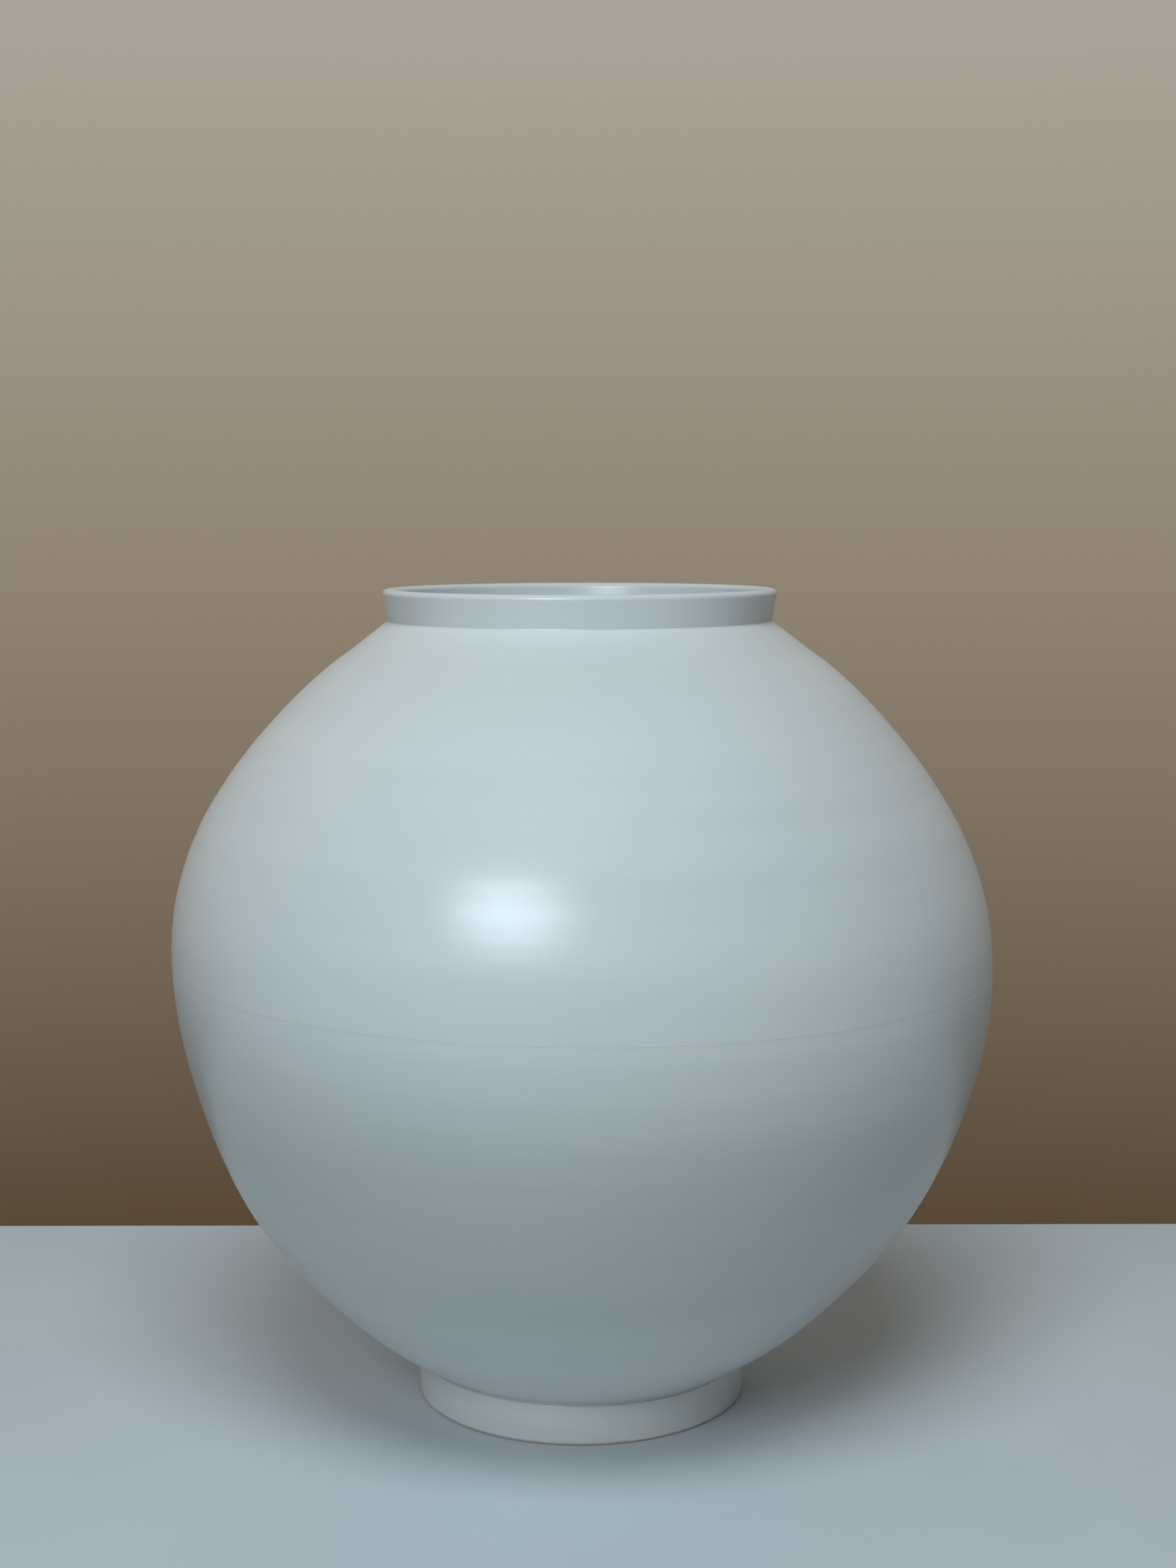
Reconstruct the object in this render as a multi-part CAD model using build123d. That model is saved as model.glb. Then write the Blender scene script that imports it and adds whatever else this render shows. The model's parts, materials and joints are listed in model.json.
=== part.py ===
"""Korean moon jar of thrown porcelain, in millimetres.

Two bowls are luted rim to rim at the belly, a foot ring is luted under the lower bowl and a
mouth collar on the upper one. Every piece is a body turned about the jar's upright axis.
The origin is the middle of the plane that the foot stands on, and +Z points up.
"""
import os
from math import acos, asin, atan2, copysign, cos, degrees, sin

from build123d import *

# Body
belly_radius = 150.0
seam_height = 165.0
slip_thickness = 0.8
seam_hollow = 0.2

# Lower bowl: its wall, the arc beside the seam and the floor. One arc could join the rim and the
# foot. The arc beside the seam has shares of that arc's radius and turn, and a second ends there.
lower_wall = 6.0
lower_bend_radius_share = 0.64
lower_bend_turn_share = 0.07
floor_thickness = 8.0
floor_bend_radius = 60.0

# Upper bowl: the same, up to the flat cut that carries the collar
upper_wall = 5.0
upper_bend_radius_share = 0.83
upper_bend_turn_share = 0.50
shoulder_height = 288.0

# Coil of clay pressed over the seam on the inside
coil_width = 12.0
coil_rise = 2.5

# Foot ring
foot_radius = 61.0
foot_height = 14.8
foot_wall = 8.0
foot_inner_lean = 2.0
foot_taper = 0.2
foot_edge_radius = 1.0
foot_shoulder_radius = 0.6
foot_groove = 0.4

# Mouth collar and the fillet of slip at its base
neck_radius = 70.0
neck_fillet = 0.7
collar_height = 11.4
collar_flare = 1.8
collar_base_wall = 6.0
collar_lip_wall = 5.8
lip_outer_edge_radius = 1.7
lip_inner_edge_radius = 2.0

# Places that follow from the sizes
half_slip = slip_thickness / 2
lower_rim = Vector(belly_radius, seam_height - half_slip)
upper_rim = Vector(belly_radius, seam_height + half_slip)
underside = foot_height + slip_thickness
collar_base = shoulder_height + slip_thickness
mouth_radius = neck_radius - collar_base_wall


def side_arcs(rim, corner, bend_radius_share, bend_turn_share):
    """Two tangent arcs that leave the rim upright and end at the corner.

    Each is a centre, a radius and the angles that it starts and ends at, in radians. The first
    follows the shares, and the second has the radius that takes it to the corner.
    """
    drop = rim - corner
    one_arc_radius = drop.dot(drop) / (2 * drop.X)
    one_arc_turn = copysign(2 * atan2(drop.X, abs(drop.Y)), -drop.Y)
    bend_radius = one_arc_radius * bend_radius_share
    turn = one_arc_turn * bend_turn_share
    outward = Vector(cos(turn), sin(turn))
    bend_centre = rim - Vector(bend_radius, 0)
    join = bend_centre + outward * bend_radius
    reach = corner - join
    flank_radius = -reach.dot(reach) / (2 * reach.dot(outward))
    flank_centre = join - outward * flank_radius
    end = corner - flank_centre
    return [
        (bend_centre, bend_radius, 0, turn),
        (flank_centre, flank_radius, turn, atan2(end.Y, end.X)),
    ]


def arc_edges(arcs, inset=0, last_angle=None):
    """The arcs as edges, moved in by a wall's thickness, with the last cut at another angle."""
    edges = []
    for centre, radius, start, end in arcs:
        if last_angle is not None and (centre, radius, start, end) == arcs[-1]:
            end = last_angle
        edges.append(CenterArc(centre, radius - inset, degrees(start), degrees(end - start)))
    return edges


def section(outline):
    """A flat face in the plane through the axis, from its outline in radius and height."""
    return Plane.XZ * make_face(outline)


def turned(face):
    """The solid that a section sweeps in one turn about the jar's axis."""
    return revolve(face, Axis.Z)


def make_lower_bowl():
    corner = Vector(foot_radius, underside)
    arcs = side_arcs(lower_rim, corner, lower_bend_radius_share, lower_bend_turn_share)
    flank_centre, flank_radius = arcs[-1][:2]
    floor_top = underside + floor_thickness
    floor_angle = asin((floor_top - flank_centre.Y) / (flank_radius - lower_wall))
    outside = arc_edges(arcs)
    inside = arc_edges(arcs, lower_wall, floor_angle)
    rest = Polyline(outside[-1] @ 1, (0, underside), (0, floor_top), inside[-1] @ 1)
    rim = Line(outside[0] @ 0, inside[0] @ 0)
    face = make_face(outside + inside + [rest, rim])
    floor_corner = face.vertices().sort_by_distance(inside[-1] @ 1)[0]
    return turned(Plane.XZ * fillet(floor_corner, floor_bend_radius))


def make_upper_bowl():
    corner = Vector(neck_radius + neck_fillet, shoulder_height)
    arcs = side_arcs(upper_rim, corner, upper_bend_radius_share, upper_bend_turn_share)
    flank_centre, flank_radius = arcs[-1][:2]
    mouth_angle = acos((mouth_radius - flank_centre.X) / (flank_radius - upper_wall))
    outside = arc_edges(arcs)
    inside = arc_edges(arcs, upper_wall, mouth_angle)
    cut = Polyline(outside[-1] @ 1, (mouth_radius, shoulder_height), inside[-1] @ 1)
    rim = Line(outside[0] @ 0, inside[0] @ 0)
    return turned(section(outside + inside + [cut, rim]))


def make_ring(inner_radius, outer_radius, base, top):
    """A flat ring with square corners."""
    outline = Polyline(
        (inner_radius, base), (outer_radius, base), (outer_radius, top), (inner_radius, top), close=True
    )
    return turned(section(outline))


def make_belly_slip():
    inner_radius = belly_radius - min(lower_wall, upper_wall)
    return make_ring(inner_radius, belly_radius - seam_hollow, lower_rim.Y, upper_rim.Y)


def make_seam_coil(neighbours):
    """A half-round strip, less whatever of it the wall behind takes up."""
    back = belly_radius - min(lower_wall, upper_wall)
    low = Vector(back, seam_height - coil_width / 2)
    high = Vector(back, seam_height + coil_width / 2)
    crown = Vector(back - coil_rise, seam_height)
    strip = turned(section([ThreePointArc(low, crown, high), Line(high, low)]))
    return strip - neighbours


def make_foot_ring():
    base_radius = foot_radius - foot_taper
    points = [
        (base_radius - foot_wall, 0),
        (base_radius, 0),
        (foot_radius, foot_height),
        (base_radius - foot_wall - foot_inner_lean, foot_height),
    ]
    face = make_face(Polyline(*points, close=True))
    face = fillet(face.vertices().group_by(Axis.Y)[0], foot_edge_radius)
    shoulder = face.vertices().sort_by_distance(Vector(foot_radius, foot_height))[0]
    return turned(Plane.XZ * fillet(shoulder, foot_shoulder_radius))


def make_foot_slip():
    inner_radius = foot_radius - foot_taper - foot_wall - foot_inner_lean
    return make_ring(inner_radius, foot_radius - foot_groove, foot_height, underside)


def make_neck_slip():
    """A thin ring whose outside is the hollow fillet between shoulder and collar."""
    low = Vector(neck_radius + neck_fillet, shoulder_height)
    high = Vector(neck_radius, collar_base)
    hollow = RadiusArc(high, low, -slip_thickness)
    back = Polyline(low, (mouth_radius, shoulder_height), (mouth_radius, collar_base), high)
    return turned(section([hollow, back]))


def make_neck_collar():
    lip_radius = neck_radius + collar_flare
    lip_height = collar_base + collar_height
    points = [
        (mouth_radius, collar_base),
        (neck_radius, collar_base),
        (lip_radius, lip_height),
        (lip_radius - collar_lip_wall, lip_height),
    ]
    face = make_face(Polyline(*points, close=True))
    outer_edge = face.vertices().sort_by_distance(Vector(*points[2]))[0]
    face = fillet(outer_edge, lip_outer_edge_radius)
    inner_edge = face.vertices().sort_by_distance(Vector(*points[3]))[0]
    return turned(Plane.XZ * fillet(inner_edge, lip_inner_edge_radius))


def main():
    lower_bowl = make_lower_bowl()
    upper_bowl = make_upper_bowl()
    belly_slip = make_belly_slip()
    pieces = {
        "foot_ring": make_foot_ring(),
        "foot_slip_joint": make_foot_slip(),
        "lower_bowl": lower_bowl,
        "belly_slip_joint": belly_slip,
        "inner_seam_coil": make_seam_coil([lower_bowl, upper_bowl, belly_slip]),
        "upper_bowl": upper_bowl,
        "neck_slip_joint": make_neck_slip(),
        "neck_collar": make_neck_collar(),
    }
    os.makedirs("parts", exist_ok=True)
    for name, piece in pieces.items():
        export_step(piece, f"parts/{name}.step")
        size = piece.bounding_box().size
        print(f"{name}: {piece.volume / 1000:.1f} cm3, {size.X:.2f} x {size.Y:.2f} x {size.Z:.2f} mm")


main()
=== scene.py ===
# %% [markdown]
# A moon jar in white porcelain
#
# A moon jar is a big round jar, too wide to be thrown in one go. The potter throws two wide
# bowls, turns one over on top of the other and joins them with slip where the belly is
# widest. A trimmed foot ring carries the jar, and a low collar makes its mouth. The whole is
# glazed in a soft satin white.
#
# The jar's plain solids come first. They say how large each piece is and where it stands, and
# every piece made below takes its place from them. The solids themselves stay in the scene,
# hidden.

# %% The plain solids of the jar
import json
from itertools import accumulate
from math import acos, asin, atan2, copysign, cos, degrees, exp, hypot, pi, radians, sin, sqrt, tan

import bpy
from mathutils import Matrix, Vector

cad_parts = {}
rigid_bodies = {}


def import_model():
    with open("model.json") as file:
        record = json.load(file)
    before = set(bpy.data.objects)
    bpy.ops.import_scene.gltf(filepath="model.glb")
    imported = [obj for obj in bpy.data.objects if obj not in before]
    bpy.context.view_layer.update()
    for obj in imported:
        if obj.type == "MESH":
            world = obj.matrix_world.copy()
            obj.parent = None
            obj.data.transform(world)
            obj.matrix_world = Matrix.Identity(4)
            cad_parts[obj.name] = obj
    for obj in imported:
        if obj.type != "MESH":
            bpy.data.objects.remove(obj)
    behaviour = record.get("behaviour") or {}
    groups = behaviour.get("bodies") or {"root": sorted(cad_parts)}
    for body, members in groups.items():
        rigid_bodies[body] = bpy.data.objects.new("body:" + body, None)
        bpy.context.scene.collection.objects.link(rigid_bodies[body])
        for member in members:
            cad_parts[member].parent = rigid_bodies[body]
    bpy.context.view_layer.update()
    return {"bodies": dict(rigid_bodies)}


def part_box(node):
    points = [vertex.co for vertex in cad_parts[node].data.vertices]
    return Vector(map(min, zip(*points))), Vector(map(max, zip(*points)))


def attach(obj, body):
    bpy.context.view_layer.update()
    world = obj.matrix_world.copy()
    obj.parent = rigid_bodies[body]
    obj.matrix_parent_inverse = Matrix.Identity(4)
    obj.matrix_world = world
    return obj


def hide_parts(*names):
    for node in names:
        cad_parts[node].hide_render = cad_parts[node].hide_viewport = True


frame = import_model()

mm = 0.001
(jar_body,) = frame["bodies"]

# %% [markdown]
# The camera
#
# The picture is taken from 86 cm in front of the jar and 34 cm above the table, looking down
# by 7 degrees. That low and near, the mouth is a thin ellipse and the foot a much rounder
# one. The place could be found by eye, by moving the camera until both ellipses are right.
# Here it is worked out once from those two ellipses, the width of the belly and the jar's
# height, and written down as plain distances.

# %% Camera
camera_place = Vector((2.9, -858.6, 336.5)) * mm
camera_pitch = radians(-7.17)
camera_roll = radians(-0.1)
lens_length = 54.08
sensor_long_side = 36.0

bpy.ops.object.select_all(action="DESELECT")
bpy.ops.object.camera_add(location=camera_place)
camera = bpy.context.object
camera.name = "camera"
camera.data.lens = lens_length
camera.data.sensor_width = sensor_long_side
level = Matrix.Rotation(radians(90), 4, "X")  # a camera that isn't turned looks straight down
camera.matrix_world = (
    Matrix.Translation(camera_place)
    @ Matrix.Rotation(camera_pitch, 4, "X")
    @ level
    @ Matrix.Rotation(camera_roll, 4, "Z")
)
bpy.context.scene.camera = camera
view_angle = 2 * degrees(atan2(sensor_long_side / 2, lens_length))
print("the lens sees", round(view_angle, 1), "degrees from top to bottom")

# %% [markdown]
# Half a section
#
# Every piece of the jar is turned on a wheel, so half of its section says it all. A section
# is a list of points, each a radius and a height. Edges need rings close together to stay
# crisp, and long walls don't, so the points along a stretch are drawn together towards an
# edge and spread out away from it.


# %% Points along a stretch
def shares_along(length, step, first=None, last=None):
    """Shares from 0 to 1 along a stretch, a step apart.

    They are closer together at an end that has a gap of its own: the first gap there is that one,
    and each further gap is wider by the same factor, until it is as wide as the step or a third
    of the stretch is used up.
    """
    growth = 1.6
    heads = []
    for gap in (first, last):
        gaps = []
        while gap and gap < step and sum(gaps) + gap < length / 3:
            gaps.append(gap)
            gap *= growth
        heads.append(gaps)
    rest = length - sum(heads[0]) - sum(heads[1])
    count = max(1, round(rest / step))
    gaps = heads[0] + [rest / count] * count + heads[1][::-1]
    return [0.0] + [share / length for share in accumulate(gaps)]


def line_points(start, end, step, first=None, last=None):
    """Points along a straight stretch of a section."""
    shares = shares_along((end - start).length, step, first, last)
    return [start.lerp(end, share) for share in shares]


def arc_points(centre, radius, start, end, step, first=None, last=None):
    """Points along an arc of a section, from one angle to another."""
    shares = shares_along(abs(end - start) * radius, step, first, last)
    angles = [start + (end - start) * share for share in shares]
    return [centre + radius * Vector((cos(angle), sin(angle))) for angle in angles]


def joined(*stretches):
    """One section from several stretches, each of which starts where the one before it ends."""
    section = list(stretches[0])
    for stretch in stretches[1:]:
        section += stretch[1:]
    return section


def rounded_corner(before, corner, after, radius, step):
    """The arc that rounds a corner between two straight stretches."""
    back, ahead = (before - corner).normalized(), (after - corner).normalized()
    half = acos(back.dot(ahead)) / 2
    centre = corner + (back + ahead).normalized() * (radius / sin(half))
    start = corner + back * (radius / tan(half)) - centre
    end = corner + ahead * (radius / tan(half)) - centre
    turn = atan2(start.x * end.y - start.y * end.x, start.dot(end))
    start_angle = atan2(start.y, start.x)
    return arc_points(centre, radius, start_angle, start_angle + turn, step)


cuts = [round(10 * share, 1) for share in shares_along(10, 3, first=0.5)]
print("a 10 mm stretch is cut at", cuts, "mm")

# %% [markdown]
# Turning a wall
#
# A wall could be pulled up as on the wheel, one extruded ring after another, but each pull
# would then work on the whole ring again. It is quicker to draw half of the section as a
# line, one extruded point after another, and to spin that line once round the jar's axis. The
# spin's last line lies on its first, and the points on the axis lie on each other, so doubles
# are merged. Only then are the faces turned outwards.


# %% Sections spun into walls
wheel_steps = 112
merge_distance = 0.004 * mm
edge_angle = radians(50)


def turn_wall(name, section):
    """Draw half of a section in the plane of X and Z and spin it round the upright axis."""
    bpy.ops.object.select_all(action="DESELECT")
    bpy.ops.mesh.primitive_plane_add(size=1 * mm, location=(section[0].x, 0, section[0].y))
    piece = bpy.context.object
    piece.name = piece.data.name = name
    bpy.ops.object.transform_apply(location=True, rotation=False, scale=False)
    bpy.ops.object.mode_set(mode="EDIT")
    bpy.ops.mesh.select_mode(type="VERT")
    bpy.ops.mesh.merge(type="CENTER")
    for before, after in zip(section, section[1:]):
        step = (after.x - before.x, 0, after.y - before.y)
        bpy.ops.mesh.extrude_vertices_move(TRANSFORM_OT_translate={"value": step})
    bpy.ops.mesh.select_all(action="SELECT")
    bpy.ops.mesh.spin(steps=wheel_steps, angle=2 * pi, center=(0, 0, 0), axis=(0, 0, 1))
    bpy.ops.mesh.select_all(action="SELECT")
    bpy.ops.mesh.remove_doubles(threshold=merge_distance)
    bpy.ops.mesh.normals_make_consistent(inside=False)
    bpy.ops.object.mode_set(mode="OBJECT")
    return piece


def smooth_clay(piece):
    """Round the facets between the rings, and keep real edges as edges."""
    bpy.ops.object.modifier_add(type="SUBSURF")
    rounding = piece.modifiers[-1]
    rounding.levels = rounding.render_levels = 1
    bpy.ops.object.modifier_apply(modifier=rounding.name)
    bpy.ops.object.shade_smooth_by_angle(angle=edge_angle)


# %% [markdown]
# What hand and kiln do to a true form
#
# No two sides of a thrown jar are alike. Four things are measured on the jar and put on its
# wall here: shallow swells where the two arcs of the wall were eased by hand, the fine ridges
# of the trimming tool, a belly that leans a little to the right, and a seam and a mouth that
# aren't quite level. Inside, where no tool comes, the fingers leave one long spiral.


# %% Marks on the outside, by height
swells = (  # height, half height and depth of each, in millimetres
    (26, 6, 0.25),
    (46, 8, -0.30),
    (77, 13, 0.43),
    (117, 15, -0.35),
    (185, 14, 0.16),
    (240, 9, 0.13),
    (280, 6, -0.60),
)
seam_height = (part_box("lower_bowl")[1].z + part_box("upper_bowl")[0].z) / 2
seam_dip = 0.009 * mm
seam_half_width = 0.6 * mm
trim_ridges = ((6.1, 0.010), (9.7, 0.016), (14.3, 0.022))  # spacing and depth, in millimetres


def bell(distance, half_width):
    """1 in the middle, and fading to nothing on both sides."""
    return exp(-((distance / half_width) ** 2))


def outside_marks(height):
    """How far the outside stands proud of the true form at a height."""
    swell = sum(depth * bell(height / mm - middle, half) for middle, half, depth in swells)
    ridges = sum(depth * sin(2 * pi * height / mm / spacing) for spacing, depth in trim_ridges)
    return (swell + ridges) * mm - seam_dip * bell(height - seam_height, seam_half_width)


depths = [depth for middle, half, depth in swells]
print("swells of", min(depths), "to", max(depths), "mm on the outside")

# %% Lean and tilt, by height
leans = (  # height, half height and shift to the right of each, in millimetres
    (118, 60, 1.39),
    (34, 12, 0.36),
    (232, 29, -0.48),
)
seam_tilt = tan(radians(0.5))
seam_tilt_reach = 40 * mm
mouth_tilt = tan(radians(0.6))
mouth_tilt_from = 240 * mm
mouth_tilt_full = 285 * mm


def eased(height, start, end):
    """0 up to the start, 1 from the end on, and eased between."""
    share = min(1, max(0, (height - start) / (end - start)))
    return share * share * (3 - 2 * share)


def settle_in_kiln(piece):
    """Lean and tilt a finished piece as the fired jar does."""
    for vertex in piece.data.vertices:
        x, y, height = vertex.co
        lean = sum(shift * bell(height / mm - middle, half) for middle, half, shift in leans)
        vertex.co.x += lean * mm
        vertex.co.z -= x * seam_tilt * bell(height - seam_height, seam_tilt_reach)
        vertex.co.z -= y * mouth_tilt * eased(height, mouth_tilt_from, mouth_tilt_full)
    piece.data.update()


# %% [markdown]
# The wall of a bowl
#
# Each bowl's side is two arcs that run into each other without a kink: a rounder one beside
# the seam and a flatter one on towards the foot or the neck. The rounder arc has a share of
# the radius and of the turn that one single arc would need, and the flatter one is the arc
# that reaches the bowl's corner from there. The inside is the same two arcs, smaller by the
# wall.


# %% Two arcs for a side
def side_arcs(rim, corner, bend_radius_share, bend_turn_share):
    """Two tangent arcs that leave the rim upright and end at the corner.

    Each is a centre, a radius and the angles that it starts and ends at, in radians.
    """
    drop = rim - corner
    one_arc_radius = drop.dot(drop) / (2 * drop.x)
    one_arc_turn = copysign(2 * atan2(drop.x, abs(drop.y)), -drop.y)
    bend_radius = one_arc_radius * bend_radius_share
    turn = one_arc_turn * bend_turn_share
    outward = Vector((cos(turn), sin(turn)))
    bend_centre = rim - Vector((bend_radius, 0))
    join = bend_centre + outward * bend_radius
    reach = corner - join
    flank_radius = -reach.dot(reach) / (2 * reach.dot(outward))
    flank_centre = join - outward * flank_radius
    end = corner - flank_centre
    return [
        (bend_centre, bend_radius, 0, turn),
        (flank_centre, flank_radius, turn, atan2(end.y, end.x)),
    ]


outside_step = 2.2 * mm
inside_step = 3.4 * mm
edge_gap = 0.12 * mm  # beside an edge that stays crisp
corner_reach = 3 * mm


def outer_side(arcs):
    """The outside of a bowl from its rim to its corner, with marks that die out at the corner."""
    flank_centre, flank_radius, _, last_angle = arcs[-1]
    corner = flank_centre + flank_radius * Vector((cos(last_angle), sin(last_angle)))
    end_gaps = ((edge_gap, None), (None, edge_gap))
    stretches = []
    for (centre, radius, first_angle, last_angle), gaps in zip(arcs, end_gaps):
        stretch = arc_points(centre, radius, first_angle, last_angle, outside_step, *gaps)
        for point in stretch:
            mark = outside_marks(point.y) * eased((point - corner).length, 0, corner_reach)
            point += (point - centre) / radius * mark
        stretches.append(stretch)
    return joined(*stretches)


def inner_side(arcs, wall, last_angle):
    """The inside of a bowl from its rim to where its floor or its mouth cuts the flatter arc."""
    (bend_centre, bend_radius, start, turn), (flank_centre, flank_radius, _, _) = arcs
    return joined(
        arc_points(bend_centre, bend_radius - wall, start, turn, inside_step, first=edge_gap),
        arc_points(flank_centre, flank_radius - wall, turn, last_angle, inside_step),
    )

# %% [markdown]
# The lower bowl
#
# The lower bowl carries everything above it, so its wall and its floor are the thickest of
# the jar. It is one shell that closes on the axis twice: under the floor, inside the foot,
# and on the floor inside the jar. The trimming tool leaves rings under the floor, and the
# outside has the marks from above.

# %% Lower bowl
lower_rim = Vector((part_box("lower_bowl")[1].x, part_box("lower_bowl")[1].z))
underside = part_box("lower_bowl")[0].z
foot_radius = 61.0 * mm
lower_wall = 6.0 * mm
lower_bend_radius_share = 0.64
lower_bend_turn_share = 0.07
floor_thickness = 8.0 * mm
floor_bend_radius = 60.0 * mm
foot_inside_radius = 51.0 * mm
floor_step = 1.6 * mm
floor_ring_spacing = 5.2 * mm
floor_ring_depth = 0.09 * mm


def trimmed_underside():
    """The underside of the floor, from the axis to the corner, with rings inside the foot."""
    middle, inside_foot = Vector((0, underside)), Vector((foot_inside_radius, underside))
    flat = line_points(middle, inside_foot, floor_step, last=edge_gap)
    for point in flat:
        fade = eased(foot_inside_radius - point.x, 0, corner_reach)
        point.y += floor_ring_depth * (1 + cos(2 * pi * point.x / floor_ring_spacing)) / 2 * fade
    hidden = line_points(flat[-1], Vector((foot_radius, underside)), 3 * floor_step, last=edge_gap)
    return joined(flat, hidden)


def lower_bowl_section():
    """From the axis under the floor, up the outside to the rim and down the inside to the axis."""
    corner = Vector((foot_radius, underside))
    arcs = side_arcs(lower_rim, corner, lower_bend_radius_share, lower_bend_turn_share)
    flank_centre, flank_radius = arcs[1][:2]
    floor_top = underside + floor_thickness
    bend_height = floor_top + floor_bend_radius
    reach = flank_radius - lower_wall - floor_bend_radius
    bend_offset = sqrt(reach**2 - (flank_centre.y - bend_height) ** 2)
    bend_centre = Vector((flank_centre.x + bend_offset, bend_height))
    bend_angle = asin((bend_height - flank_centre.y) / reach)
    outside = outer_side(arcs)
    inside = inner_side(arcs, lower_wall, bend_angle)
    return joined(
        trimmed_underside(),
        outside[::-1],
        line_points(outside[0], inside[0], inside_step, edge_gap, edge_gap),
        inside,
        arc_points(bend_centre, floor_bend_radius, bend_angle, radians(-90), inside_step),
        line_points(Vector((bend_centre.x, floor_top)), Vector((0, floor_top)), inside_step),
    )


lower_section = lower_bowl_section()
thrown_lower_bowl = turn_wall("thrown_lower_bowl", lower_section)
smooth_clay(thrown_lower_bowl)
print("the lower bowl is turned from", len(lower_section), "points")

# %% [markdown]
# The upper bowl
#
# The upper bowl is thrown like the lower one, thinner because it carries only the collar, and
# is turned over when leather-hard. Its wall ends in a flat cut, on which the collar sits. It
# is open at both ends, so its section comes back to its first point, and the doubles there
# are merged with the rest.

# %% Upper bowl
upper_rim = Vector((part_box("upper_bowl")[1].x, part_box("upper_bowl")[0].z))
shoulder_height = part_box("upper_bowl")[1].z
neck_radius = 70.0 * mm
neck_fillet = 0.7 * mm
mouth_radius = 64.0 * mm
upper_wall = 5.0 * mm
upper_bend_radius_share = 0.83
upper_bend_turn_share = 0.50


def upper_bowl_section():
    """From the rim up the outside, over the flat cut of the mouth and down the inside again."""
    corner = Vector((neck_radius + neck_fillet, shoulder_height))
    arcs = side_arcs(upper_rim, corner, upper_bend_radius_share, upper_bend_turn_share)
    flank_centre, flank_radius = arcs[1][:2]
    mouth_angle = acos((mouth_radius - flank_centre.x) / (flank_radius - upper_wall))
    outside = outer_side(arcs)
    inside = inner_side(arcs, upper_wall, mouth_angle)
    cut_edge = Vector((mouth_radius, shoulder_height))
    return joined(
        outside,
        line_points(outside[-1], cut_edge, inside_step, edge_gap, edge_gap),
        line_points(cut_edge, inside[-1], inside_step, edge_gap, edge_gap),
        inside[::-1],
        line_points(inside[0], outside[0], inside_step, edge_gap, edge_gap),
    )


upper_section = upper_bowl_section()
thrown_upper_bowl = turn_wall("thrown_upper_bowl", upper_section)
smooth_clay(thrown_upper_bowl)
print("the upper bowl is turned from", len(upper_section), "points")

# %% [markdown]
# Foot ring and collar
#
# The foot is a coil of clay luted to the lower bowl and trimmed on the wheel: nearly upright
# outside, leaning in underneath, with edges broken so that they don't chip. The collar flares
# a little and has a rounded lip, whose outer edge catches a bright line of light. Both have a
# four-sided section with some corners rounded.

# %% Foot ring
foot_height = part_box("foot_ring")[1].z
foot_base_radius = 60.8 * mm
foot_base_inner = 52.8 * mm
foot_top_inner = 50.8 * mm
foot_edge_radius = 1.0 * mm
foot_shoulder_radius = 0.6 * mm
rounding_step = 0.35 * mm
small_step = 1.2 * mm


def four_sided_section(corners, radii):
    """A closed section with four corners, each rounded by its own radius, or sharp at nought."""
    rounds = []
    for place, (corner, radius) in enumerate(zip(corners, radii)):
        before, after = corners[place - 1], corners[(place + 1) % len(corners)]
        arc = rounded_corner(before, corner, after, radius, rounding_step) if radius else [corner]
        rounds.append(arc)
    section = []
    for place, arc in enumerate(rounds):
        following = rounds[(place + 1) % len(rounds)]
        section += arc + line_points(arc[-1], following[0], small_step, edge_gap, edge_gap)[1:-1]
    return section + section[:1]


foot_section = four_sided_section(
    [
        Vector((foot_base_inner, 0)),
        Vector((foot_base_radius, 0)),
        Vector((foot_radius, foot_height)),
        Vector((foot_top_inner, foot_height)),
    ],
    [foot_edge_radius, foot_edge_radius, foot_shoulder_radius, 0],
)
turned_foot_ring = turn_wall("turned_foot_ring", foot_section)
smooth_clay(turned_foot_ring)
print("the foot stands on a ring", round((foot_base_radius - foot_base_inner) / mm, 1), "mm wide")

# %% Collar
collar_base, lip_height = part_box("neck_collar")[0].z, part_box("neck_collar")[1].z
lip_radius = 71.8 * mm
lip_wall = 5.8 * mm
lip_outer_edge_radius = 1.7 * mm
lip_inner_edge_radius = 2.0 * mm

collar_section = four_sided_section(
    [
        Vector((mouth_radius, collar_base)),
        Vector((neck_radius, collar_base)),
        Vector((lip_radius, lip_height)),
        Vector((lip_radius - lip_wall, lip_height)),
    ],
    [0, 0, lip_outer_edge_radius, lip_inner_edge_radius],
)
flared_collar = turn_wall("flared_collar", collar_section)
smooth_clay(flared_collar)
print("the collar rises", round((lip_height - collar_base) / mm, 1), "mm above the shoulder")

# %% [markdown]
# Slip in the joints
#
# Slip, which is clay as thick as cream, glues the pieces while they are leather-hard. It is
# squeezed out of the joint, wiped off with a finger and shows only as a thin line: a shallow
# groove at the belly, a hollow fillet under the collar and a dark little step above the foot.
# Inside, a coil of clay is pressed over the belly joint with the fingertips, because that
# joint has to carry half the jar.

# %% Slip lines
slip_thickness = collar_base - shoulder_height
foot_groove = 0.4 * mm
slip_step = 0.2 * mm


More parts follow.
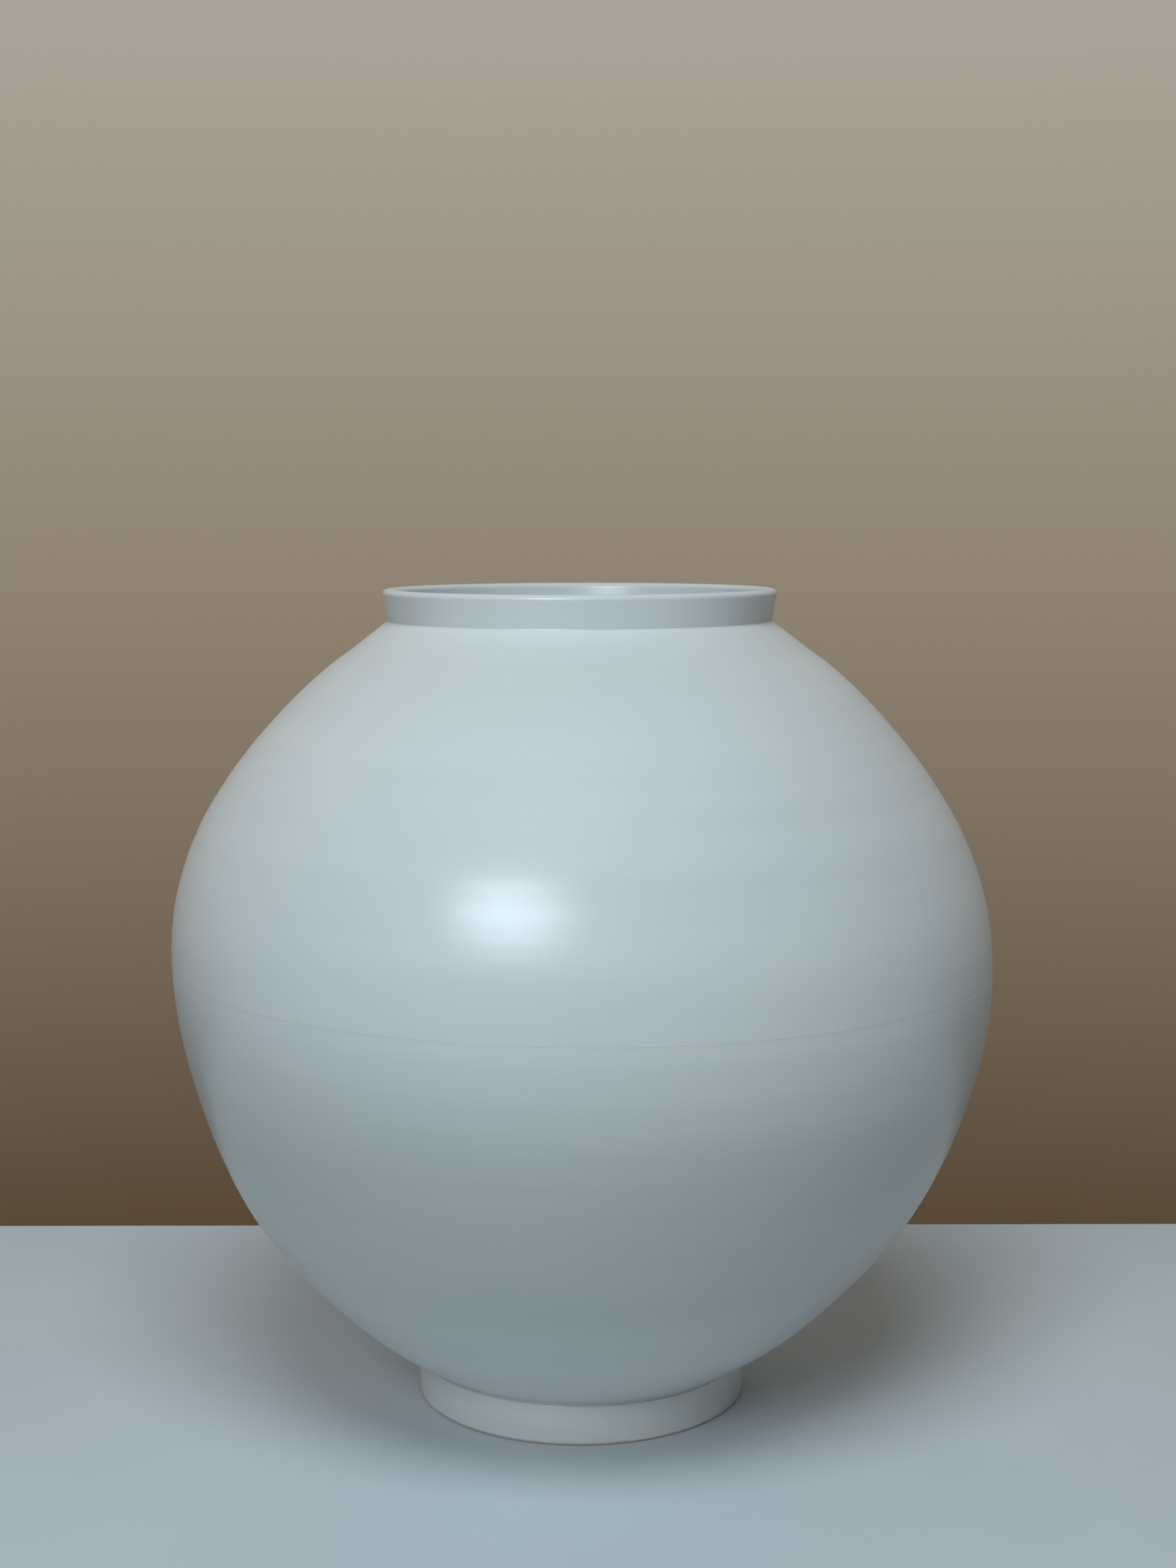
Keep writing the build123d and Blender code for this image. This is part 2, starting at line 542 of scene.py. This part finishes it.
def square_slip(inner_radius, outer_radius, base, top):
    """The section of a flat ring of slip, whose outside has the seam's dip if it is at the seam."""
    face = line_points(Vector((outer_radius, base)), Vector((outer_radius, top)), slip_step)
    for point in face:
        point.x -= seam_dip * bell(point.y - seam_height, seam_half_width)
    return joined(
        line_points(Vector((inner_radius, base)), face[0], small_step, edge_gap, edge_gap),
        face,
        line_points(face[-1], Vector((inner_radius, top)), small_step, edge_gap, edge_gap),
        line_points(Vector((inner_radius, top)), Vector((inner_radius, base)), slip_step),
    )


def neck_fillet_section():
    """A ring of slip whose outside is a hollow fillet between shoulder and collar."""
    low = Vector((neck_radius + neck_fillet, shoulder_height))
    high = Vector((neck_radius, collar_base))
    chord = high - low
    outward = Vector((-chord.y, chord.x)).normalized() * -1
    centre = (low + high) / 2 + outward * sqrt(slip_thickness**2 - chord.length_squared / 4)
    from_low, from_high = low - centre, high - centre
    turn = atan2(from_low.x * from_high.y - from_low.y * from_high.x, from_low.dot(from_high))
    low_angle = atan2(from_low.y, from_low.x)
    inner_low = Vector((mouth_radius, shoulder_height))
    inner_high = Vector((mouth_radius, collar_base))
    return joined(
        line_points(inner_low, low, small_step, edge_gap, edge_gap),
        arc_points(centre, slip_thickness, low_angle, low_angle + turn, slip_step),
        line_points(high, inner_high, small_step, edge_gap, edge_gap),
        line_points(inner_high, inner_low, slip_step),
    )


belly_inner_radius = upper_rim.x - upper_wall
groove_radius = foot_radius - foot_groove
slip_lines = {
    "belly_slip_line": square_slip(belly_inner_radius, upper_rim.x, lower_rim.y, upper_rim.y),
    "foot_slip_line": square_slip(foot_top_inner, groove_radius, foot_height, underside),
    "neck_slip_fillet": neck_fillet_section(),
}
for name, section in slip_lines.items():
    smooth_clay(turn_wall(name, section))
    print(name, "is turned from", len(section), "points")

# %% Coil pressed over the belly joint inside
coil_half_width = 6.0 * mm
coil_rise = 2.5 * mm
coil_step = 0.8 * mm
dab_count = 34
dab_depth = 0.35 * mm


def coil_section():
    """A low round strip over the seam, with its back against the walls of both bowls."""
    crown_radius = (coil_half_width**2 + coil_rise**2) / (2 * coil_rise)
    centre = Vector((belly_inner_radius - coil_rise + crown_radius, seam_height))
    lower_inner_radius = lower_rim.x - lower_wall
    low_angle = pi + acos((centre.x - lower_inner_radius) / crown_radius)
    high_angle = pi - asin(coil_half_width / crown_radius)
    front = arc_points(centre, crown_radius, low_angle, high_angle, coil_step)
    shelf = [
        Vector((belly_inner_radius, upper_rim.y)),
        Vector((belly_inner_radius, lower_rim.y)),
        Vector((lower_inner_radius, lower_rim.y)),
    ]
    return joined(
        front,
        line_points(front[-1], shelf[0], small_step),
        line_points(shelf[0], shelf[1], small_step),
        line_points(shelf[1], shelf[2], small_step),
        line_points(shelf[2], front[0], small_step),
    )


def press_with_fingertips(piece):
    """Dab the front of the coil all the way round, deeper here and shallower there."""
    for vertex in piece.data.vertices:
        x, y, height = vertex.co
        radius, around = hypot(x, y), atan2(y, x)
        proud = max(0, (belly_inner_radius - radius) / coil_rise)
        unevenly_spaced = dab_count * around / 2 + 0.8 * sin(3 * around)
        unevenly_deep = 0.7 + 0.3 * sin(5 * around + 1)
        dab = sin(unevenly_spaced) ** 2 * unevenly_deep
        pushed = radius + dab_depth * dab * proud
        vertex.co.x, vertex.co.y = x * pushed / radius, y * pushed / radius
    piece.data.update()


pressed_seam_coil = turn_wall("pressed_seam_coil", coil_section())
smooth_clay(pressed_seam_coil)
press_with_fingertips(pressed_seam_coil)
print("the coil is pressed with", dab_count, "dabs")

# %% [markdown]
# The spiral that the fingers leave
#
# Pulling the wall up leaves a spiral inside, a ridge for each turn of the wheel. The outside
# is trimmed smooth, so only the inside keeps it. A spun wall has level rings and no spiral,
# so this mark is pushed into the finished mesh: each point whose face looks into the jar
# moves along its own normal. The upper bowl was thrown the other way up, and its spiral
# climbs the other way.

# %% Throwing spiral
spiral_pitch = 9.0 * mm
spiral_depth = 0.22 * mm
inward_facing = -0.7  # faces that look at the middle of the jar have less than this
seam_calm = 14 * mm  # so near to the seam and the mouth the spiral dies out


def press_throwing_spiral(piece, direction):
    """Push the fingers' spiral into the inside of a bowl."""
    hub = Vector((0, 0, seam_height))
    normals = [vertex.normal.copy() for vertex in piece.data.vertices]
    for vertex, normal in zip(piece.data.vertices, normals):
        arm = vertex.co - hub
        if normal.dot(arm.normalized()) < inward_facing:
            around = atan2(vertex.co.y, vertex.co.x)
            from_floor = atan2(hypot(arm.x, arm.y), -arm.z) * lower_rim.x
            turns = from_floor / spiral_pitch + direction * around / (2 * pi)
            calm_at_seam = eased(abs(arm.z), seam_calm / 2, seam_calm)
            calm_at_mouth = eased(shoulder_height - vertex.co.z, 0, seam_calm)
            unevenly_deep = 1 + 0.35 * sin(2 * pi * from_floor / (7 * spiral_pitch) + 2 * around)
            depth = spiral_depth * calm_at_seam * calm_at_mouth * unevenly_deep
            vertex.co += normal * depth * sin(2 * pi * turns)
    piece.data.update()


press_throwing_spiral(thrown_lower_bowl, 1)
press_throwing_spiral(thrown_upper_bowl, -1)
spiral_turns = pi / 2 * lower_rim.x / spiral_pitch
print("the spiral has", round(spiral_turns), "turns from the floor to the seam")

# %% [markdown]
# Glaze
#
# The glaze is a thin coat of milky glass over white clay. It isn't one colour: it drifts from
# a cool white to a warm one, faint bands follow the wheel, and under the light it has a fine
# grain. Under the belly it is darker: partly where the glaze ran together and lies thick, and
# partly painted shade, where the lower half turns away from the light. Its sheen is soft,
# because the surface is satin and not mirror-smooth. A few iron specks are in every porcelain
# glaze. A painted picture could hold all this, but it would have to be wrapped round the jar
# and would blur close by. So it is made from noise in the jar's own space, at real sizes in
# metres, and colour, specks, sheen and relief each have their own few nodes.

# %% Helpers for materials
def add_node(tree, kind, feeds=None, **options):
    """A shader node with its options set, its sockets fed with numbers or other nodes' outputs."""
    node = tree.nodes.new(kind)
    for option, value in options.items():
        setattr(node, option, value)
    for socket, value in (feeds or {}).items():
        if isinstance(value, bpy.types.NodeSocket):
            tree.links.new(value, node.inputs[socket])
        else:
            node.inputs[socket].default_value = value
    return node


def fresh_material(name):
    """A new material, its node tree and its main shader."""
    material = bpy.data.materials.new(name)
    material.use_nodes = True
    tree = material.node_tree
    return material, tree, tree.nodes["Principled BSDF"]


usual_noise = (0.3, 0.7)  # where most of a noise's own values lie


def noise(tree, place, blotch, detail=2.0, low=0.0, high=1.0):
    """Noise with blotches of a size in metres, mostly between two values and seldom past them."""
    cloud_feeds = {"Vector": place, "Scale": 1 / blotch, "Detail": detail}
    cloud = add_node(tree, "ShaderNodeTexNoise", cloud_feeds).outputs["Fac"]
    own = {"Value": cloud, "From Min": usual_noise[0], "From Max": usual_noise[1]}
    wanted = {"To Min": low, "To Max": high}
    return add_node(tree, "ShaderNodeMapRange", own | wanted, clamp=False).outputs["Result"]


def banded(tree, place, flatness):
    """The object's coordinates squeezed sideways, so that noise on them lies in level bands."""
    squeezed = {"Vector": place, "Scale": (flatness, flatness, 1.0)}
    return add_node(tree, "ShaderNodeMapping", squeezed).outputs["Vector"]


def combine(tree, operation, first, second):
    """Two values added, multiplied or compared."""
    node = add_node(tree, "ShaderNodeMath", {0: first, 1: second}, operation=operation)
    return node.outputs["Value"]


def share_between(tree, value, low, high, **options):
    """0 where the value is at the low end, 1 where it is at the high one."""
    ends = {"Value": value, "From Min": low, "From Max": high}
    return add_node(tree, "ShaderNodeMapRange", ends, **options).outputs["Result"]


def blend_colours(tree, share, first, second):
    """A mix of two colours, each a colour or another node's output."""
    mix = add_node(tree, "ShaderNodeMix", data_type="RGBA")
    for socket, value in ((0, share), (6, first), (7, second)):
        if isinstance(value, bpy.types.NodeSocket):
            tree.links.new(value, mix.inputs[socket])
        else:
            mix.inputs[socket].default_value = value
    return mix.outputs[2]


print("helpers for materials are ready")

# %% Colour of the glaze
cool_glaze = (0.71, 0.745, 0.74, 1)
warm_glaze = (0.745, 0.75, 0.72, 1)
# Painted shade: the darker tint under the belly stands partly for glaze that lies thick there and
# partly for shade on the lower half.
thick_glaze_and_shade = (0.51, 0.53, 0.505, 1)
thick_and_shaded_above = (105 * mm, 190 * mm)  # the heights where the thick glaze and painted shade start to fade, and where they are gone
thick_and_shaded_below = (75 * mm, 20 * mm)
drift_size = 140 * mm
band_size, band_flatness, band_swing = 16 * mm, 0.06, 0.025
grain_size, grain_swing = 1.6 * mm, 0.005


def glaze_tint(tree, place, cool, warm):
    """A tint between cool and warm, darker under the belly for thick glaze and painted shade, with
    level bands and a fine grain.
    """
    drift = noise(tree, place, drift_size, detail=3)
    flat = banded(tree, place, band_flatness)
    bands = noise(tree, flat, band_size, detail=3, low=1 - band_swing, high=1 + band_swing)
    grain = noise(tree, place, grain_size, detail=3, low=1 - grain_swing, high=1 + grain_swing)
    height = add_node(tree, "ShaderNodeSeparateXYZ", {"Vector": place}).outputs["Z"]
    # Painted shade: below the belly the tint turns darker, partly for thick glaze and partly as
    # painted shade.
    thin_unshaded_above = share_between(tree, height, *thick_and_shaded_above, interpolation_type="SMOOTHSTEP")
    thin_unshaded_below = share_between(tree, height, *thick_and_shaded_below, interpolation_type="SMOOTHSTEP")
    thin_unshaded_share = combine(tree, "MAXIMUM", thin_unshaded_above, thin_unshaded_below)
    tone = combine(tree, "MULTIPLY", bands, grain)
    tint = blend_colours(tree, thin_unshaded_share, thick_glaze_and_shade, blend_colours(tree, drift, cool, warm))
    shaded = add_node(tree, "ShaderNodeHueSaturation", {"Color": tint, "Value": tone})
    return shaded.outputs["Color"]


print("the glaze's bands are about", round(band_size / mm), "mm high")

# %% Specks in the glaze
iron_brown = (0.16, 0.10, 0.06, 1)
speck_cell = 11 * mm
speck_radius = 0.035  # a share of the cell
speck_core = 0.3  # the share of the radius where a speck is as dark as it gets
speck_patch, speck_rarity = 23 * mm, 0.93
speck_strength = 0.5


def iron_specks(tree, place):
    """How dark the specks are: one at most in a cell, and only in the few patches that have any."""
    cells = add_node(tree, "ShaderNodeTexVoronoi", {"Vector": place, "Scale": 1 / speck_cell})
    rare = combine(tree, "GREATER_THAN", noise(tree, place, speck_patch), speck_rarity)
    spot = share_between(tree, cells.outputs["Distance"], speck_radius, speck_core * speck_radius)
    return combine(tree, "MULTIPLY", combine(tree, "MULTIPLY", spot, rare), speck_strength)


print("a speck is up to", round(2 * speck_radius * speck_cell / mm, 1), "mm wide")

# %% Relief and sheen of the glaze
peel_size, peel_depth = 3.2 * mm, 0.002 * mm
fine_size, fine_depth = 0.7 * mm, 0.001 * mm
tool_size, tool_flatness, tool_depth = 2.4 * mm, 0.03, 0.003 * mm
sheen_size, glaze_sheen, sheen_swing = 4 * mm, 0.29, 0.01
glaze_ior = 1.5
glaze_specular = 1.0


def glaze_relief(tree, place):
    """The skin of the glaze: a soft peel, a fine grain and the level lines of the tool below it."""
    peel = noise(tree, place, peel_size, low=0, high=peel_depth)
    fine = noise(tree, place, fine_size, low=0, high=fine_depth)
    tool = noise(tree, banded(tree, place, tool_flatness), tool_size, low=0, high=tool_depth)
    relief = combine(tree, "ADD", combine(tree, "ADD", peel, fine), tool)
    bump = add_node(tree, "ShaderNodeBump", {"Height": relief, "Distance": 1.0, "Strength": 1.0})
    return bump.outputs["Normal"]


def satin_glaze(name, cool, warm):
    """A satin white glaze between two tints, with its specks, its sheen and its relief."""
    material, tree, shader = fresh_material(name)
    place = add_node(tree, "ShaderNodeTexCoord").outputs["Object"]
    tint = glaze_tint(tree, place, cool, warm)
    specked = blend_colours(tree, iron_specks(tree, place), tint, iron_brown)
    low, high = glaze_sheen - sheen_swing, glaze_sheen + sheen_swing
    tree.links.new(specked, shader.inputs["Base Color"])
    tree.links.new(noise(tree, place, sheen_size, low=low, high=high), shader.inputs["Roughness"])
    tree.links.new(glaze_relief(tree, place), shader.inputs["Normal"])
    shader.inputs["IOR"].default_value = glaze_ior
    shader.inputs["Specular IOR Level"].default_value = glaze_specular
    return material, tree, shader


body_glaze = satin_glaze("satin_white_glaze", cool_glaze, warm_glaze)[0]
relief_depth = peel_depth + fine_depth + tool_depth
print("the relief of the glaze is about", round(relief_depth / mm, 3), "mm deep at most")

# %% [markdown]
# Foot, slip and coil
#
# On the foot the glaze is painted lighter and a little warmer than on the body: that is
# painted light, the light that the table throws back onto the upright foot. Its lowest edge is
# wiped clean before firing, or the glaze would stick the jar to the kiln. The bare clay could
# be a piece of its own, but it is only a coat that is missing, so the same material changes
# its colour below a height that wavers.
# Slip and coil lie under the same glaze as the bowls.

# %% Glaze of foot, slip and coil
# Painted light: the foot's tints are lighter and a little warmer than the body's, for the light
# that the table throws back onto the foot.
lit_foot_cool_tint = (0.835, 0.855, 0.815, 1)
lit_foot_warm_tint = (0.86, 0.86, 0.805, 1)
bare_clay = (0.72, 0.66, 0.56, 1)
wiped_height, wiped_swing, wiped_wave = 1.1 * mm, 0.3 * mm, 6 * mm

foot_glaze, foot_tree, foot_shader = satin_glaze("foot_glaze", lit_foot_cool_tint, lit_foot_warm_tint)
foot_place = add_node(foot_tree, "ShaderNodeTexCoord").outputs["Object"]
foot_rise = add_node(foot_tree, "ShaderNodeSeparateXYZ", {"Vector": foot_place}).outputs["Z"]
lowest, highest = wiped_height - wiped_swing, wiped_height + wiped_swing
wiped_line = noise(foot_tree, foot_place, wiped_wave, low=lowest, high=highest)
is_bare = combine(foot_tree, "LESS_THAN", foot_rise, wiped_line)
foot_colour = foot_shader.inputs["Base Color"]
glazed_colour = foot_colour.links[0].from_socket
foot_tree.links.new(blend_colours(foot_tree, is_bare, glazed_colour, bare_clay), foot_colour)

joint_glaze = satin_glaze("slip_under_glaze", cool_glaze, warm_glaze)[0]
coil_glaze = satin_glaze("coil_glaze", cool_glaze, warm_glaze)[0]
print("the foot is wiped bare up to", round(wiped_height / mm, 1), "mm")

# %% [markdown]
# Each piece in its place
#
# The pieces settle together as the jar does in the kiln, so that they still meet. Then each
# one takes its glaze and moves with the jar's body, and the plain solid that it stands for is
# hidden.

# %% Places and finishes
finishes = {
    "thrown_lower_bowl": ("lower_bowl", "body_glaze", body_glaze),
    "thrown_upper_bowl": ("upper_bowl", "body_glaze", body_glaze),
    "flared_collar": ("neck_collar", "body_glaze", body_glaze),
    "turned_foot_ring": ("foot_ring", "foot_glaze", foot_glaze),
    "belly_slip_line": ("belly_slip_joint", "joint_slip", joint_glaze),
    "foot_slip_line": ("foot_slip_joint", "joint_slip", joint_glaze),
    "neck_slip_fillet": ("neck_slip_joint", "joint_slip", joint_glaze),
    "pressed_seam_coil": ("inner_seam_coil", "coil_glaze", coil_glaze),
}
for name, (node, slot, glaze) in finishes.items():
    piece = bpy.data.objects[name]
    settle_in_kiln(piece)
    piece.data.materials.append(glaze)
    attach(piece, jar_body)
    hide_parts(node)
    triangles = sum(len(face.vertices) - 2 for face in piece.data.polygons)
    print(f"{name} stands for {node}, with {triangles} triangles")

# %% [markdown]
# Table, backdrop and light
#
# The jar stands on a plain white table top that ends a hand's breadth behind it. A big curved
# sheet could be its backdrop, but the world's own colour does that with nothing to model:
# brown at the table, pale beige above, and a dim grey on the camera's side. Two soft panels
# light the jar. The one in front on the left is mirrored in the glaze, as the highlight on
# the belly. The wide one above only lights the shoulder and isn't mirrored, because the belly
# shows one highlight and not two. So the lower half falls into its own shade, and what the
# table throws back fills it.

# %% Table top
table_back = 193 * mm
table_front = -1500 * mm
table_half_width = 1500 * mm
table_thickness = 40 * mm
table_edge = 2 * mm
table_middle = (0, (table_back + table_front) / 2, -table_thickness / 2)
bpy.ops.object.select_all(action="DESELECT")
bpy.ops.mesh.primitive_cube_add(size=1, location=table_middle)
table = bpy.context.object
table.name = "table_top"
table.scale = (2 * table_half_width, table_back - table_front, table_thickness)
bpy.ops.object.transform_apply(location=True, rotation=False, scale=True)
bpy.ops.object.modifier_add(type="BEVEL")
table.modifiers[-1].width = table_edge
table.modifiers[-1].segments = 3
bpy.ops.object.modifier_apply(modifier=table.modifiers[-1].name)

table_paint, table_tree, table_shader = fresh_material("white_table_top")
table_place = add_node(table_tree, "ShaderNodeTexCoord").outputs["Object"]
table_white, table_grey = (0.65, 0.695, 0.72, 1), (0.62, 0.665, 0.69, 1)
smudge_size = 90 * mm
brush_size, brush_depth = 1.5 * mm, 0.01 * mm
table_roughness = 0.55
smudges = noise(table_tree, table_place, smudge_size, detail=5)
smudged = blend_colours(table_tree, smudges, table_white, table_grey)
table_tree.links.new(smudged, table_shader.inputs["Base Color"])
table_relief = noise(table_tree, table_place, brush_size, detail=3, low=0, high=brush_depth)
table_bump = add_node(table_tree, "ShaderNodeBump", {"Height": table_relief, "Distance": 1.0})
table_tree.links.new(table_bump.outputs["Normal"], table_shader.inputs["Normal"])
table_shader.inputs["Roughness"].default_value = table_roughness
table.data.materials.append(table_paint)
print("the table top is", round(2 * table_half_width, 1), "m wide")

# %% World
world = bpy.data.worlds.new("studio")
bpy.context.scene.world = world
world.use_nodes = True
sky = world.node_tree
front_grey = (0.06, 0.065, 0.07, 1)
low_brown = (0.095, 0.064, 0.038, 1)
middle_beige = (0.270, 0.222, 0.165, 1)
high_beige = (0.395, 0.365, 0.315, 1)
brown_to_beige = (-0.30, -0.05)  # how far up a direction points where the colours change
beige_to_pale = (-0.05, 0.18)
front_to_backdrop = (0.0, 0.8)  # and how far away from the camera's side

toward = add_node(sky, "ShaderNodeTexCoord").outputs["Generated"]
direction = add_node(sky, "ShaderNodeSeparateXYZ", {"Vector": toward})
lower_share = share_between(sky, direction.outputs["Z"], *brown_to_beige)
upper_share = share_between(sky, direction.outputs["Z"], *beige_to_pale)
behind_share = share_between(sky, direction.outputs["Y"], *front_to_backdrop)
lower_backdrop = blend_colours(sky, lower_share, low_brown, middle_beige)
backdrop = blend_colours(sky, upper_share, lower_backdrop, high_beige)
surroundings = blend_colours(sky, behind_share, front_grey, backdrop)
sky.links.new(surroundings, sky.nodes["Background"].inputs["Color"])
print("the backdrop goes from brown at the table to pale beige, and the front is dim grey")

# %% Soft panels
panels = {  # place, what it faces, width and height in metres, watts, colour
    "window_panel": ((-0.63, -1.74, 1.25), (-0.02, -0.14, 0.20), 1.0, 0.7, 13.5, (0.78, 0.89, 1.0)),
    "overhead_panel": ((-0.02, -0.97, 1.80), (0, 0, 0.15), 1.1, 0.8, 19.0, (0.78, 0.90, 0.96)),
}
mirrored_in_glaze = ("window_panel",)
for name, (place, target, width, height, watts, colour) in panels.items():
    bpy.ops.object.light_add(type="AREA", location=place)
    panel = bpy.context.object
    panel.name = name
    panel.visible_glossy = name in mirrored_in_glaze
    panel.rotation_euler = (Vector(target) - Vector(place)).to_track_quat("-Z", "Y").to_euler()
    panel.data.shape = "ELLIPSE"
    panel.data.size, panel.data.size_y = width, height
    panel.data.energy = watts
    panel.data.color = colour
    print(name, "is", round((Vector(target) - Vector(place)).length, 2), "m away")

bpy.context.scene.view_settings.view_transform = "Standard"
